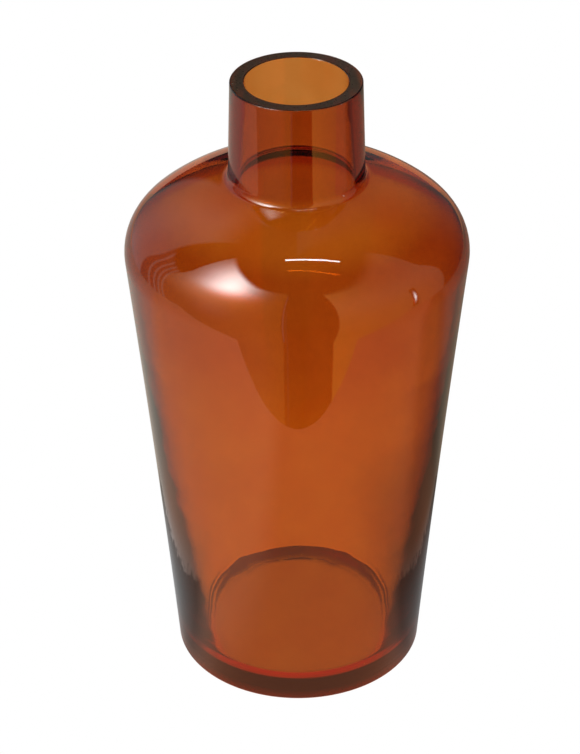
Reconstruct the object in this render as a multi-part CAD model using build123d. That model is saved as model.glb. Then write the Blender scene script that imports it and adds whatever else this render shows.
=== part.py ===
from build123d import *
import os

os.makedirs("parts", exist_ok=True)

# A bud vase blown in one piece of glass, in millimetres.
# The origin is the centre of the ring it stands on, and +Z is the axis of the vessel.
# The one glass wall is divided at its changes of form into five regions that meet face to face.

# Overall height, from the resting ring to the flat ground top of the rim
height = 200.0

# Outer surface
foot_radius = 39.3
heel_edge_radius = 1.0
wall_hollow = 0.47  # how far the wall's slow outward flare dips inside a straight line
crest_radius = 53.0  # the corner where wall and shoulder would meet if it were left sharp
crest_level = 149.5
crest_rounding = 15.2
shoulder_crown = 3.0  # how far the shoulder rises over a straight line from crest to neck
neck_root_radius = 20.6
neck_root_level = 169.0
neck_root_rounding = 2.5
lip_radius = 19.65
rim_bevel = 0.4

# Inner surface
floor_level = 3.0
floor_radius = 32.0
floor_rounding = 8.0  # glass gathers in the corner between floor and wall
inner_wall_bulge = 1.2
inner_crest_radius = 50.8
inner_crest_level = 147.9
inner_crest_rounding = 13.0
inner_shoulder_crown = 2.8
throat_radius = 17.2
throat_level = 167.3
throat_rounding = 4.0
mouth_radius = 15.4
mouth_length = 8.0

# Underside: a shallow punt inside the flat ring that the vase stands on
punt_radius = 31.0
punt_depth = 1.2
punt_crown = punt_depth / 4

# Levels at which the wall is divided into regions
wall_margin = 1.0  # plain wall above the rounded corner that still counts as base
wall_start = floor_level + floor_rounding + wall_margin
shoulder_start = 141.0
neck_start = 171.0
rim_start = height - mouth_length


def corner_near(face, point):
    """The corner of a half section that lies nearest to a point, given as its radius and level."""
    return face.vertices().sort_by_distance(Vector(*point))[0]


def outer_half():
    """Everything inside the outer surface, as a half section against the axis."""
    crest = (crest_radius, crest_level)
    neck_root = (neck_root_radius, neck_root_level)
    flare = SagittaArc((foot_radius, 0), crest, wall_hollow)
    shoulder = SagittaArc(crest, neck_root, -shoulder_crown)
    rest = Polyline(
        neck_root,
        (lip_radius, height),
        (0, height),
        (0, punt_depth),
    )
    punt = SagittaArc((0, punt_depth), (punt_radius, 0), punt_crown)
    ring = Line((punt_radius, 0), (foot_radius, 0))
    face = make_face([flare, shoulder, rest, punt, ring])
    face = fillet(corner_near(face, crest), crest_rounding)
    face = fillet(corner_near(face, neck_root), neck_root_rounding)
    face = fillet(corner_near(face, (foot_radius, 0)), heel_edge_radius)
    return chamfer(corner_near(face, (lip_radius, height)), rim_bevel)


def hollow_half():
    """The cavity, as a half section that runs out through the open mouth."""
    floor_corner = (floor_radius, floor_level)
    crest = (inner_crest_radius, inner_crest_level)
    throat = (throat_radius, throat_level)
    wall = SagittaArc(floor_corner, crest, -inner_wall_bulge)
    shoulder = SagittaArc(crest, throat, -inner_shoulder_crown)
    rest = Polyline(
        throat,
        (mouth_radius, rim_start),
        (mouth_radius, height - rim_bevel),
        (mouth_radius + rim_bevel, height),
        (0, height),
        (0, floor_level),
        floor_corner,
    )
    face = make_face([wall, shoulder, rest])
    face = fillet(corner_near(face, crest), inner_crest_rounding)
    face = fillet(corner_near(face, throat), throat_rounding)
    return fillet(corner_near(face, floor_corner), floor_rounding)


def region(glass, low, high):
    """The part of the glass between two levels, turned about the axis."""
    band = Pos(crest_radius, (low + high) / 2) * Rectangle(2 * crest_radius, high - low)
    return revolve(Plane.XZ * (glass & band), Axis.Z)


glass_section = outer_half() - hollow_half()

levels = {
    "base": (0, wall_start),
    "body_wall": (wall_start, shoulder_start),
    "shoulder": (shoulder_start, neck_start),
    "neck": (neck_start, rim_start),
    "rim": (rim_start, height),
}

for name, (low, high) in levels.items():
    export_step(region(glass_section, low, high), f"parts/{name}.step")
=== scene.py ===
import math

import bpy
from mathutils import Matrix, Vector, noise


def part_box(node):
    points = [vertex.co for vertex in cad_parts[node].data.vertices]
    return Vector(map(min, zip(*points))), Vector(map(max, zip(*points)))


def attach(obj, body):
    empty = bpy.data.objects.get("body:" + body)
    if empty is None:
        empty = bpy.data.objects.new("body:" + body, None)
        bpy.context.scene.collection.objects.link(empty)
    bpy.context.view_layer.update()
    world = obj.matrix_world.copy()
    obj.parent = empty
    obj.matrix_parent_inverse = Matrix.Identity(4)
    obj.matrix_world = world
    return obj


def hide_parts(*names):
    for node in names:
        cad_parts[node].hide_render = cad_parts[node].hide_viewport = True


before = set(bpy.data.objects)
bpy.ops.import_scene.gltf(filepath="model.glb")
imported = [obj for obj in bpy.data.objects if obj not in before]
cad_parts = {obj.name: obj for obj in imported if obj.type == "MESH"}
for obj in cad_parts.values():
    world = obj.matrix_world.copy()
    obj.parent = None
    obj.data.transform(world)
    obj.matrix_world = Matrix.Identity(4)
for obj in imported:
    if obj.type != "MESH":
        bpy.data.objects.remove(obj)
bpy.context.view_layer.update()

# A bud vase of amber glass on a white ground.
# Lengths in the outline and in the shading are millimetres, and angles there are degrees. Objects are in metres.
MM = 0.001

# ---------------------------------------------------------------- driving sizes

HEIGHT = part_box("rim")[1][2] / MM

# outer surface
FOOT_RADIUS = 39.3
HEEL_ROUNDING = 1.0
WALL_HOLLOW = 0.47  # how far the wall's slow outward flare dips inside a straight line
CREST = (53.0, 149.5)
CREST_ROUNDING = 15.2
SHOULDER_CROWN = 3.0  # how far the shoulder rises over a straight line from crest to neck
NECK_ROOT = (20.6, 169.0)
NECK_ROOT_ROUNDING = 2.5
LIP_RADIUS = 19.65
RIM_BEVEL = 0.4

# inner surface
FLOOR_LEVEL = 3.0
FLOOR_RADIUS = 32.0
FLOOR_ROUNDING = 8.0
INNER_WALL_BULGE = 1.2
INNER_CREST = (50.8, 147.9)
INNER_CREST_ROUNDING = 13.0
INNER_SHOULDER_CROWN = 2.8
THROAT = (17.2, 167.3)
THROAT_ROUNDING = 4.0
MOUTH_RADIUS = 15.4
MOUTH_LENGTH = 8.0

# underside
PUNT_RADIUS = 31.0
PUNT_DEPTH = 1.2

SEGMENTS = 240
STEP = 1.6  # spacing of points along the long stretches of the outline
ARC_STEP = math.radians(6)  # spacing of points round the tight corners
TINY = 0.001  # less than any real step in the outline


# ---------------------------------------------------------------- outline

def bowed(start, end, sagitta=0.0):
    """Points along a shallow arc with both ends. The arc stands out by the sagitta, to the right of its way."""
    start, end = Vector(start), Vector(end)
    along = end - start
    right = Vector((along.y, -along.x)).normalized()
    count = max(2, round(along.length / STEP))
    if abs(sagitta) < 1e-6:
        return [start + along * i / count for i in range(count + 1)]
    radius = (along.length_squared / 4 + sagitta**2) / (2 * sagitta)
    centre = (start + end) / 2 + right * (sagitta - radius)
    half = math.asin(along.length / 2 / radius)
    points = []
    for i in range(count + 1):
        angle = half * (2 * i / count - 1)
        points.append(centre + (right * math.cos(angle) + along.normalized() * math.sin(angle)) * radius)
    return points


def crossing(a, b, c, d):
    """Where the segments a-b and c-d cross, as the two fractions along them, or None."""
    first, second = b - a, d - c
    scale = first.cross(second)
    if abs(scale) < 1e-12:
        return None
    s = (c - a).cross(second) / scale
    t = (c - a).cross(first) / scale
    return (s, t) if 0 <= s <= 1 and 0 <= t <= 1 else None


def set_off(points, distance):
    """The same stretch moved sideways, to its left for a positive distance."""
    moved = []
    for i, point in enumerate(points):
        way = (points[min(i + 1, len(points) - 1)] - points[max(i - 1, 0)]).normalized()
        moved.append(point + Vector((-way.y, way.x)) * distance)
    return moved


def joined(first, second, radius):
    """Two stretches that meet at a corner, made one, with a tangent arc of the radius at the corner."""
    turn = (first[-1] - first[-2]).cross(second[1] - second[0])
    side = math.copysign(radius, turn)
    inner_first, inner_second = set_off(first, side), set_off(second, side)
    for i in reversed(range(len(first) - 1)):
        for j in range(len(second) - 1):
            found = crossing(inner_first[i], inner_first[i + 1], inner_second[j], inner_second[j + 1])
            if found:
                centre = inner_first[i].lerp(inner_first[i + 1], found[0])
                start = first[i].lerp(first[i + 1], found[0]) - centre
                end = second[j].lerp(second[j + 1], found[1]) - centre
                angle = start.angle(end)
                count = max(3, math.ceil(angle / ARC_STEP), math.ceil(angle * radius / STEP))
                arc = []
                for k in range(count + 1):
                    past = angle * k / count
                    spoke = start * math.sin(angle - past) + end * math.sin(past)
                    arc.append(centre + spoke / math.sin(angle))
                return first[:i + 1] + arc + second[j + 1:]
    raise ValueError(f"a rounding of {radius} does not fit")


def outline():
    """The half section as stretches of (kind, points), from the axis under the base to the axis on the floor."""
    mouth_foot = (MOUTH_RADIUS, HEIGHT - MOUTH_LENGTH)
    mouth_top = (MOUTH_RADIUS, HEIGHT)
    lip = (LIP_RADIUS, HEIGHT)
    foot = (FOOT_RADIUS, 0)
    floor_edge = (FLOOR_RADIUS, FLOOR_LEVEL)

    punt = bowed((0, PUNT_DEPTH), (PUNT_RADIUS, 0), -PUNT_DEPTH / 4)
    outer = joined(bowed((PUNT_RADIUS, 0), foot), bowed(foot, CREST, -WALL_HOLLOW), HEEL_ROUNDING)
    outer = joined(outer, bowed(CREST, NECK_ROOT, SHOULDER_CROWN), CREST_ROUNDING)
    outer = joined(outer, bowed(NECK_ROOT, lip), NECK_ROOT_ROUNDING)
    outer = joined(outer, bowed(lip, mouth_top), RIM_BEVEL)
    slack = 0.01 * RIM_BEVEL
    ring_end = max(i for i, p in enumerate(outer) if p.y < TINY)
    lip_end = max(i for i, p in enumerate(outer) if p.x > LIP_RADIUS - RIM_BEVEL - slack)
    flat = joined(outer[lip_end:], bowed(mouth_top, mouth_foot), RIM_BEVEL)
    flat_end = max(i for i, p in enumerate(flat) if p.y > HEIGHT - slack)
    inner_shoulder = bowed(THROAT, INNER_CREST, -INNER_SHOULDER_CROWN)
    inner = flat[flat_end:] + joined(bowed(mouth_foot, THROAT), inner_shoulder, THROAT_ROUNDING)[1:]
    inner = joined(inner, bowed(INNER_CREST, floor_edge, -INNER_WALL_BULGE), INNER_CREST_ROUNDING)
    inner = joined(inner, bowed(floor_edge, (0, FLOOR_LEVEL)), FLOOR_ROUNDING)
    floor_start = min(i for i, p in enumerate(inner) if p.y < FLOOR_LEVEL + TINY)

    return [
        ("under", punt[:-1] + outer[:ring_end + 1]),
        ("outer", outer[ring_end + 1:lip_end]),
        ("rim", flat[:flat_end + 1]),
        ("inner", inner[1:floor_start + 1]),
        ("floor", inner[floor_start + 1:]),
    ]


# ---------------------------------------------------------------- shading arithmetic

class Signal:
    """A number worked out by shader nodes, so that shading can be written as plain arithmetic."""

    def __init__(self, tree, socket):
        self.tree = tree
        self.socket = socket

    def node(self, kind, values, **settings):
        made = self.tree.nodes.new(kind)
        for setting, value in settings.items():
            setattr(made, setting, value)
        for place, value in zip(made.inputs, values):
            if isinstance(value, Signal):
                self.tree.links.new(value.socket, place)
            else:
                place.default_value = value
        return made

    def math(self, operation, *values):
        return Signal(self.tree, self.node("ShaderNodeMath", values, operation=operation).outputs[0])

    def __add__(self, other):
        return self.math("ADD", self, other)

    def __sub__(self, other):
        return self.math("SUBTRACT", self, other)

    def __mul__(self, other):
        return self.math("MULTIPLY", self, other)

    def rise(self, low, high):
        """0 below low, 1 above high, and smooth between."""
        made = self.node("ShaderNodeMapRange", (self, low, high, 0.0, 1.0), interpolation_type="SMOOTHSTEP")
        return Signal(self.tree, made.outputs[0])

    def fall(self, low, high):
        return self.rise(low, high) * -1 + 1

    def band(self, low, high, edge):
        """1 between low and high, and 0 outside, with edges of the given width."""
        return self.rise(low - edge / 2, low + edge / 2) * self.fall(high - edge / 2, high + edge / 2)

    def bump(self, centre, spread):
        """A bell of height 1."""
        away = (self - centre) * (1 / spread)
        return self.math("POWER", math.exp(-1), away * away)

    def drive(self, place):
        self.tree.links.new(self.socket, place)


def position(tree):
    """Where a shaded point lies on its object, in millimetres, as three signals."""
    place = tree.nodes.new("ShaderNodeTexCoord")
    parts = tree.nodes.new("ShaderNodeSeparateXYZ")
    tree.links.new(place.outputs["Object"], parts.inputs[0])
    return [Signal(tree, socket) * (1 / MM) for socket in parts.outputs]


def radius_of(x, y):
    return x.math("SQRT", x * x + y * y)


def azimuth_of(x, y):
    """The angle round the axis, counted from the camera's side of the vase towards its right."""
    return x.math("ARCTAN2", x, y * -1) * math.degrees(1)


def light_path(tree, fact):
    """What the renderer knows about the light that arrives, such as how many surfaces it has met."""
    return Signal(tree, tree.nodes.new("ShaderNodeLightPath").outputs[fact])


def crossings(tree):
    """How many glass surfaces the light has come through."""
    return light_path(tree, "Transmission Depth")


def turns(tree):
    """How many times the light has been reflected."""
    return light_path(tree, "Glossy Depth")


def blend(tree, amount, first, second):
    """A mix of two colours, each a plain colour or a socket. Returns the socket of the result."""
    mix = tree.nodes.new("ShaderNodeMix")
    mix.data_type = "RGBA"
    amount.drive(mix.inputs["Factor"])
    for place, colour in ((mix.inputs[6], first), (mix.inputs[7], second)):
        if isinstance(colour, tuple):
            place.default_value = (*colour, 1)
        else:
            tree.links.new(colour, place)
    return mix.outputs[2]


def cloud(tree, size, detail=2.0, flattened=1.0):
    """Soft noise between 0 and 1, with patches of the given size, made flatter by the given factor."""
    place = tree.nodes.new("ShaderNodeTexCoord")
    scaled = tree.nodes.new("ShaderNodeVectorMath")
    scaled.operation = "MULTIPLY"
    tree.links.new(place.outputs["Object"], scaled.inputs[0])
    scaled.inputs[1].default_value = (1, 1, flattened)
    pattern = tree.nodes.new("ShaderNodeTexNoise")
    tree.links.new(scaled.outputs[0], pattern.inputs["Vector"])
    pattern.inputs["Scale"].default_value = 1 / (size * MM)
    pattern.inputs["Detail"].default_value = detail
    return Signal(tree, pattern.outputs["Fac"])


def raised(tree, shader, height, depth):
    """Gives a surface a bump of the given depth."""
    bump = tree.nodes.new("ShaderNodeBump")
    bump.inputs["Strength"].default_value = 1.0
    bump.inputs["Distance"].default_value = depth * MM
    height.drive(bump.inputs["Height"])
    tree.links.new(bump.outputs[0], shader.inputs["Normal"])


# ---------------------------------------------------------------- glass

# the blown inner wall's ripples
RIPPLE_DEPTH = 0.035
RIPPLE_HEIGHT = 7.0
RIPPLE_WIDTH = 16.0
RIPPLE_STARTS = (FLOOR_LEVEL + 1, FLOOR_LEVEL + 12)  # levels between which the ripples come in
RIPPLE_ENDS = (140, 160)
QUICK_PACE = 2.3  # how much closer the second set of ripples lies, and how strong it is
QUICK_SHARE = 0.4

IOR = 1.5

# the amber layer, as what it lets through at each height
BODY_AMBER = (0.405, 0.072, 0.002)
CREST_AMBER = (0.30, 0.034, 0.001)
SHOULDER_AMBER = (0.56, 0.15, 0.010)
NECK_AMBER = (0.30, 0.034, 0.001)
MOTTLE = 0.25  # how much the layer's thickness varies
MOTTLE_SIZE = 14

# the ground rim
RIM_TINT = (0.33, 0.31, 0.21)
# the colour at the rim's inner and outer edges
RIM_EDGE_TINT = (0.42, 0.32, 0.18)
RIM_CLEARNESS = 0.95
RIM_GRAIN = 0.8

# fine relief
CORNER_STEP = (5.3, 0.7)  # the level and the spread of a faint step in the corner of the floor
CENTRE_MARK = (3.5, 1.0)  # the radius and the spread of the faint ring at the floor's centre


def ease(value, low, high):
    """0 below low, 1 above high, and smooth between."""
    t = min(max((value - low) / (high - low), 0.0), 1.0)
    return t * t * (3 - 2 * t)


def ripple(x, y, z):
    """How far the blown inner wall stands out from its true radius, in millimetres."""
    fade = ease(z, *RIPPLE_STARTS) * (1 - ease(z, *RIPPLE_ENDS))
    place = Vector((x / RIPPLE_WIDTH, y / RIPPLE_WIDTH, z / RIPPLE_HEIGHT))
    return RIPPLE_DEPTH * fade * (noise.noise(place) + QUICK_SHARE * noise.noise(place * QUICK_PACE))


def vessel_mesh(slots):
    """The closed glass wall, turned from the outline, with one material for each kind of surface."""
    points = []
    kinds = []
    for kind, stretch in outline():
        points += stretch
        kinds += [kind] * len(stretch)

    vertices = []
    for (radius, level), kind in zip(points[1:-1], kinds[1:-1]):
        for j in range(SEGMENTS):
            angle = 2 * math.pi * j / SEGMENTS
            x, y = radius * math.cos(angle), radius * math.sin(angle)
            if kind == "inner":
                grow = 1 + ripple(x, y, level) / radius
                x, y = x * grow, y * grow
            vertices.append((x * MM, y * MM, level * MM))
    under_pole = len(vertices)
    floor_pole = under_pole + 1
    vertices += [(0, 0, points[0][1] * MM), (0, 0, points[-1][1] * MM)]

    faces = []
    materials = []
    rings = len(points) - 2
    for j in range(SEGMENTS):
        k = (j + 1) % SEGMENTS
        faces.append((under_pole, k, j))
        materials.append(slots.index("under"))
        for i in range(rings - 1):
            a, b = i * SEGMENTS, (i + 1) * SEGMENTS
            faces.append((a + j, a + k, b + k, b + j))
            materials.append(slots.index(kinds[i + 1]))
        last = (rings - 1) * SEGMENTS
        faces.append((last + j, last + k, floor_pole))
        materials.append(slots.index("floor"))

    mesh = bpy.data.meshes.new("glass_vessel")
    mesh.from_pydata(vertices, [], faces)
    mesh.polygons.foreach_set("material_index", materials)
    mesh.polygons.foreach_set("use_smooth", [True] * len(faces))
    mesh.update()
    return mesh


def glass(name):
    """Clear glass. Returns it with its shader and its tree."""
    material = bpy.data.materials.new(name)
    material.use_nodes = True
    shader = material.node_tree.nodes["Principled BSDF"]
    shader.inputs["Base Color"].default_value = (1, 1, 1, 1)
    shader.inputs["Roughness"].default_value = 0.0
    shader.inputs["IOR"].default_value = IOR
    shader.inputs["Transmission Weight"].default_value = 1.0
    return material, shader, material.node_tree


def amber_glass(name):
    """Glass under a thin amber layer, paler on the shoulder. Light caught inside the wall meets the layer again
    at every turn, so it comes out deeper. That is weaker on the shoulder, and stronger in the thick corner of
    the base."""
    material, shader, tree = glass(name)
    _, _, z = position(tree)
    colour = blend(tree, z.rise(105, 135), BODY_AMBER, CREST_AMBER)
    colour = blend(tree, z.rise(157, 165), colour, SHOULDER_AMBER)
    colour = blend(tree, z.rise(167, 172), colour, NECK_AMBER)
    shoulder = z.band(152, 170, 6)
    corner = z.fall(5, 10)
    caught = turns(tree) * (shoulder * -0.8 + corner * 0.6 + 1)
    thickness = cloud(tree, MOTTLE_SIZE) * MOTTLE + (1 - MOTTLE / 2)
    deeper = tree.nodes.new("ShaderNodeGamma")
    tree.links.new(colour, deeper.inputs["Color"])
    (caught * thickness + thickness).drive(deeper.inputs["Gamma"])
    tree.links.new(deeper.outputs[0], shader.inputs["Base Color"])
    return material, shader, tree


def amber_outside(name):
    """The layer on the outside, with flat streaks round the heel and faint smears higher up."""
    material, shader, tree = amber_glass(name)
    _, _, z = position(tree)
    streaks = cloud(tree, 25, flattened=16) * z.fall(6, 11)
    unevenness = cloud(tree, 20, detail=1.0) * 0.3
    raised(tree, shader, streaks + unevenness, 0.08)
    smears = cloud(tree, 14, detail=3.0).rise(0.55, 0.8)
    (smears * 0.02).drive(shader.inputs["Roughness"])
    return material


def amber_underside(name):
    """The underside: the same layer, scuffed on the ring that the vase stands on."""
    material, shader, tree = amber_glass(name)
    x, y, _ = position(tree)
    ring = radius_of(x, y).rise(PUNT_RADIUS - 0.5, PUNT_RADIUS + 0.5)
    scuffs = cloud(tree, 1.5, detail=4.0)
    (ring * (scuffs * 0.3 + 0.05)).drive(shader.inputs["Roughness"])
    raised(tree, shader, ring * scuffs, 0.02)
    return material


def clear_inside(name):
    """The inner wall, with a faint step where the rounded corner runs into the floor."""
    material, shader, tree = glass(name)
    _, _, z = position(tree)
    raised(tree, shader, z.bump(*CORNER_STEP) + cloud(tree, 25) * 0.15, 0.25)
    return material


def clear_floor(name):
    """The inside of the floor, with a faint ring at its centre."""
    material, shader, tree = glass(name)
    x, y, _ = position(tree)
    raised(tree, shader, radius_of(x, y).bump(*CENTRE_MARK) + cloud(tree, 12) * 0.3, 0.25)
    return material


def ground_rim(name):
    """The ground top of the rim, warmer at its inner and outer edges."""
    material, shader, tree = glass(name)
    x, y, _ = position(tree)
    radius = radius_of(x, y)
    inner_edge = radius.fall(MOUTH_RADIUS + 0.4, MOUTH_RADIUS + 0.9)
    outer_edge = radius.rise(LIP_RADIUS - 0.9, LIP_RADIUS - 0.4)
    tree.links.new(blend(tree, inner_edge + outer_edge, RIM_TINT, RIM_EDGE_TINT), shader.inputs["Base Color"])
    grain = cloud(tree, RIM_GRAIN, detail=4.0)
    (grain * 0.2 + 0.2).drive(shader.inputs["Roughness"])
    shader.inputs["Transmission Weight"].default_value = RIM_CLEARNESS
    raised(tree, shader, grain, 0.01)
    return material


SURFACES = {
    "under": amber_underside("amber_underside"),
    "outer": amber_outside("amber_outside"),
    "rim": ground_rim("ground_rim"),
    "inner": clear_inside("clear_inside"),
    "floor": clear_floor("clear_floor"),
}

vessel = bpy.data.objects.new("glass_vessel", vessel_mesh(list(SURFACES)))
bpy.context.collection.objects.link(vessel)
for surface in SURFACES.values():
    vessel.data.materials.append(surface)
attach(vessel, "root")
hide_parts("rim", "neck", "shoulder", "body_wall", "base")


# ---------------------------------------------------------------- studio

# What the vase reflects and lets through. The camera itself sees only a plain white ground.

EYE = Vector((0, 0, 0.13))  # the point on the vase that the studio's directions are counted from
GROUND = -0.0002  # the level of the table and of the white sheet, just under the vase
QUAD = [(0, 1, 2, 3)]
WHITE = (1.0, 1.0, 1.0)
PLAIN = (0.8, 0.8, 0.8)  # what shows beyond the vase from its other sides
# painted shadow: the table's grey under the vase, where the vase's own shadow falls
SHADOW_UNDER_VASE = (0.70, 0.70, 0.70)

# the table's colours, on the left and on the right of the vase. The dim amber on the right side and at the right
# edge is a painted shadow: the vase's own amber shadow, which falls to the right
LEFT_SIDE, RIGHT_SIDE_AMBER_SHADOW = (0.42, 0.38, 0.34), (0.34, 0.19, 0.11)
LEFT_FRONT, RIGHT_FRONT = (2.2, 0.95, 0.55), (1.6, 0.55, 0.30)
LEFT_PATCH, RIGHT_PATCH = (1.1, 0.56, 0.34), (0.55, 0.27, 0.12)
LEFT_FAR, RIGHT_FAR = (0.9, 0.48, 0.32), (0.85, 0.38, 0.20)
LEFT_EDGE, RIGHT_EDGE_AMBER_SHADOW = (0.60, 0.52, 0.44), (0.28, 0.21, 0.15)

TABLE_WIDTH = (-0.655, 0.53)  # the table's two ends, from left to right
TABLE_DEPTH = (-0.16, 4)  # the table's near and far edges
SHEET_WIDTH = (-4, 4)
CEILING = 1.9  # the height of the tubes
RED_OF_WARM = 2.2  # the warm light, as what it adds to red and to green
GREEN_OF_WARM = 0.85


def studio_object(name, vertices, material):
    """A flat part of the studio, hidden from the camera."""
    mesh = bpy.data.meshes.new(name)
    mesh.from_pydata(vertices, [], QUAD)
    mesh.materials.append(material)
    thing = bpy.data.objects.new(name, mesh)
    bpy.context.collection.objects.link(thing)
    thing.visible_camera = False
    thing.visible_diffuse = False
    thing.visible_shadow = False
    return thing


def emission(name):
    """A plain white glow. Returns it with its shader and its tree."""
    material = bpy.data.materials.new(name)
    material.use_nodes = True
    material.cycles.emission_sampling = "NONE"
    tree = material.node_tree
    tree.nodes.remove(tree.nodes["Principled BSDF"])
    glow = tree.nodes.new("ShaderNodeEmission")
    glow.inputs["Strength"].default_value = 1.0
    tree.links.new(glow.outputs[0], tree.nodes["Material Output"].inputs["Surface"])
    return material, glow, tree


def rectangle(x_range, y_range, level):
    (west, east), (near, far) = x_range, y_range
    return [(west, near, level), (east, near, level), (east, far, level), (west, far, level)]


def direction(azimuth, elevation):
    """The way from the vase to an azimuth, as azimuth_of counts it, and an elevation."""
    a, e = math.radians(azimuth), math.radians(elevation)
    return Vector((math.sin(a) * math.cos(e), -math.cos(a) * math.cos(e), math.sin(e)))


def shallow(tree):
    """1 for light that has come through two glass surfaces at most, and 0 for light from deeper in the glass."""
    return crossings(tree).fall(2, 3)


def soft_lamp(name, azimuth, elevation, distance, size, tall, brightness):
    """An oval lamp that is brightest in the middle and fades out. Tall is its height for a width of 1."""
    material, glow, tree = emission(name)
    x, y, _ = position(tree)
    (radius_of(x, y).bump(0, size / MM) * shallow(tree) * brightness).drive(glow.inputs["Strength"])
    reach = (-2.5 * size, 2.5 * size)
    lamp = studio_object(name, rectangle(reach, reach, 0), material)
    way = direction(azimuth, elevation)
    lamp.location = way * distance + EYE
    lamp.rotation_euler = way.to_track_quat("Z", "Y").to_euler()
    lamp.scale = (1, tall, 1)


def tube(name, start, end, width, brightness, surfaces):
    """A thin ceiling tube between two points of the ceiling, as a flat strip that faces down. Only light that has
    come through a number of glass surfaces in the given range shows it."""
    start, end = Vector((*start, CEILING)), Vector((*end, CEILING))
    across = (end - start).cross(Vector((0, 0, 1))).normalized() * width / 2
    corners = [tuple(p) for p in (start - across, end - across, end + across, start + across)]
    material, glow, tree = emission(name)
    shown = crossings(tree).band(surfaces[0] - 0.5, surfaces[1] + 0.5, 0.2)
    (shown * brightness).drive(glow.inputs["Strength"])
    studio_object(name, corners, material)


def build_sheet():
    """The plain white floor that the camera sees round the vase."""
    material, _, _ = emission("white_sheet")
    sheet = studio_object("sheet", rectangle(SHEET_WIDTH, SHEET_WIDTH, GROUND), material)
    sheet.visible_camera = True
    sheet.visible_glossy = False
    sheet.visible_transmission = False


def build_table():
    """The table as the glass shows it: bright behind the vase, and dimmer and warmer round its other sides. It
    glows in place of a lit table, with the vase's own shadow painted on it: grey under the vase, dim amber on the
    right, and dark patches close beside it.
    """
    material, glow, tree = emission("pale_table")
    x, y, _ = position(tree)
    reflected = turns(tree).rise(0, 1)
    inside = crossings(tree).rise(0, 1)

    # in front of the vase and beside it
    front = azimuth_of(x, y).bump(0, 95)
    left = blend(tree, front, LEFT_SIDE, LEFT_FRONT)
    # the dim amber on the right side, away from the front, is the vase's painted shadow
    right = blend(tree, front, RIGHT_SIDE_AMBER_SHADOW, RIGHT_FRONT)
    side = blend(tree, x.rise(-60, -20), left, right)
    beside = y.band(20, 380, 80)
    side = blend(tree, x.band(-520, -170, 80) * beside, side, LEFT_PATCH)
    side = blend(tree, x.band(170, 480, 80) * beside, side, RIGHT_PATCH)

    # behind the vase: white in a fan that widens from the vase, and warmer far away
    fan_start = 130
    past_start = (y - fan_start).math("MAXIMUM", y - fan_start, 0.0)
    spread = x.math("ABSOLUTE", x + 5) - past_start * 2.0
    behind = spread.fall(45, 95) * y.rise(-35, 15)
    far = blend(tree, x.rise(-100, 100), LEFT_FAR, RIGHT_FAR)
    whole = blend(tree, behind, side, blend(tree, y.rise(420, 650), WHITE, far))

    # what the outside of the glass mirrors, and what shows straight through the glass from behind
    # on the right, the painted amber shadow of the vase
    edges = blend(tree, x.rise(-60, 60), LEFT_EDGE, RIGHT_EDGE_AMBER_SHADOW)
    whole = blend(tree, reflected * (inside * -1 + 1) * y.band(60, 600, 60), whole, edges)
    whole = blend(tree, (reflected * -1 + 1) * y.fall(-60, -20), whole, PLAIN)
    # the painted shadow under the vase
    whole = blend(tree, radius_of(x, y).fall(30, 34), whole, SHADOW_UNDER_VASE)
    tree.links.new(whole, glow.inputs["Color"])

    # painted shadow: ragged dark patches close to both sides of the vase, where its own shadow falls, for
    # reflected light only
    ragged = x.math("ABSOLUTE", x) + cloud(tree, 5) * 16 - 8
    patches = ragged.band(30, 74, 6) * y.band(-20, 80, 16) * (reflected * (inside * 0.25 + 0.55))
    distance = y.rise(140, 260) * -0.12 + 1
    # painted shade: the table darker on the right, close to the vase
    right_shade = x.rise(15, 50) * y.band(-10, 80, 40) * -0.4 + 1
    (distance * (patches * -1 + 1) * right_shade).drive(glow.inputs["Strength"])
    studio_object("table", rectangle(TABLE_WIDTH, TABLE_DEPTH, GROUND), material)


def room(azimuth, elevation, near):
    """How bright the room is in a direction: 1 shows as white. Returns its white and its warm light.
    Near is 1 for the light that shows the big lamp."""

    def patch(at, spread):
        """A soft patch round an azimuth and an elevation."""
        return azimuth.bump(at[0], spread[0]) * elevation.bump(at[1], spread[1])

    # two pale walls with a dark gap between them, which the front of the vase mirrors
    right = azimuth.band(26, 106, 1.5) * elevation.fall(56, 64)
    left = azimuth.band(-98, -10, 1.5) * elevation.fall(63, 66)
    right_wall = right * (elevation.bump(30, 26) * 0.16 + elevation.rise(-35, -15) * 0.05 + 0.12)
    left_wall = left * (patch((-56, 10), (14, 16)) * 0.3 + azimuth.fall(-30, -10) * 0.07 + 0.07)
    dark = azimuth.rise(120, 165) * 0.12 + 0.035
    door = azimuth.band(-9.5, -8.5, 0.6) * elevation.band(-40, 60, 4) * 0.4
    posts = (azimuth.bump(-7.2, 0.5) * 0.10 - azimuth.bump(3.9, 0.5) * 0.03) * elevation.band(-50, 30, 10)

    # the big soft lamp on the left, and the glow round it
    key = patch((-66, 56), (19.5, 13.3)) * near * 22
    halo = patch((-69, 35), (26, 17)) * 1.1

    # behind on the left: a curtain in folds, a pale wall and a small lamp
    tilted = azimuth + elevation * 0.17
    folds = tilted.bump(-94.5, 1) + tilted.bump(-98.5, 1) + tilted.bump(-103, 1) + tilted.bump(-109, 1)
    curtain = (folds * 0.5 + azimuth.band(-120, -98, 2) * 0.12) * elevation.band(-14, 36, 3)
    back = azimuth.band(-160, -119, 3) * elevation.band(-20, 58, 20) * (azimuth.rise(-158, -135) * 0.35 + 0.22)
    small = patch((-161, 63), (4, 3)) * 3

    white = dark + right_wall + left_wall + left * (key + halo) + door + posts + curtain + back + small
    facing = azimuth.bump(0, 75)
    warm = right * facing + left * (facing * 0.4 + patch((-60, 35), (30, 20)))
    return white, warm


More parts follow.
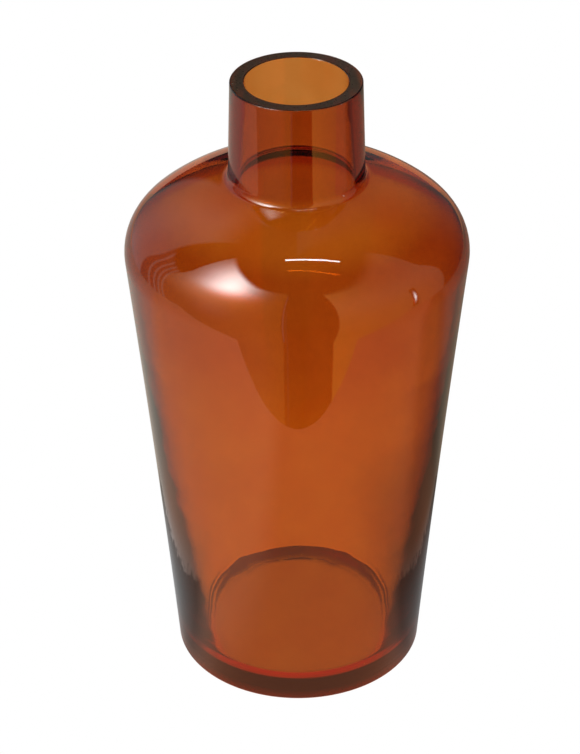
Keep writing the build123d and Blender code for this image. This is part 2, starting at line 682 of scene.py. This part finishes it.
def build_world():
    """The room by direction. The camera sees it white, and light that goes straight through the glass finds a
    plain floor below the horizon."""
    world = bpy.data.worlds.new("studio")
    bpy.context.scene.world = world
    world.use_nodes = True
    tree = world.node_tree
    place = tree.nodes.new("ShaderNodeTexCoord")
    parts = tree.nodes.new("ShaderNodeSeparateXYZ")
    tree.links.new(place.outputs["Generated"], parts.inputs[0])
    x, y, z = [Signal(tree, socket) for socket in parts.outputs]
    elevation = z.math("ARCSINE", z) * math.degrees(1)
    white, warm = room(azimuth_of(x, y), elevation, shallow(tree))
    both = tree.nodes.new("ShaderNodeCombineColor")
    (white + warm * RED_OF_WARM).drive(both.inputs[0])
    (white + warm * GREEN_OF_WARM).drive(both.inputs[1])
    white.drive(both.inputs[2])
    straight = turns(tree).fall(0, 1)
    seen = blend(tree, straight * elevation.fall(-3, 0), both.outputs[0], PLAIN)
    seen = blend(tree, light_path(tree, "Is Camera Ray"), seen, WHITE)
    tree.links.new(seen, tree.nodes["Background"].inputs["Color"])


build_world()
build_sheet()
build_table()
tube("ceiling_tube", (-0.155, -0.108), (0.569, -0.085), width=0.028, brightness=22, surfaces=(0, 0))
tube("ceiling_twin", (-0.13, -0.25), (0.6, -0.25), width=0.02, brightness=22, surfaces=(1, 2))
tube("second_tube", (-0.05, 0.88), (0.28, 1.02), width=0.03, brightness=16, surfaces=(0, 2))
soft_lamp("small_lamp", azimuth=78, elevation=2, distance=1.4, size=0.022, tall=7, brightness=12)


# ---------------------------------------------------------------- camera

CAMERA_PLACE = (0, -0.7038, 0.5474)
CAMERA_TILT = 32.60  # degrees below level
CAMERA_TURN = 0.193
CAMERA_ROLL = -0.35
LENS = 127.55
SENSOR_WIDTH = 36
BOUNCES = 32  # enough for light that runs round inside the wall

camera = bpy.data.objects.new("camera", bpy.data.cameras.new("camera"))
bpy.context.collection.objects.link(camera)
camera.location = CAMERA_PLACE
camera.rotation_euler = (math.radians(90 - CAMERA_TILT), 0, math.radians(CAMERA_TURN))
camera.rotation_euler.rotate_axis("Z", math.radians(CAMERA_ROLL))
camera.data.lens = LENS
camera.data.sensor_width = SENSOR_WIDTH
bpy.context.scene.camera = camera

scene = bpy.context.scene
scene.view_settings.view_transform = "Standard"
scene.cycles.max_bounces = BOUNCES
scene.cycles.transmission_bounces = BOUNCES
scene.cycles.glossy_bounces = BOUNCES
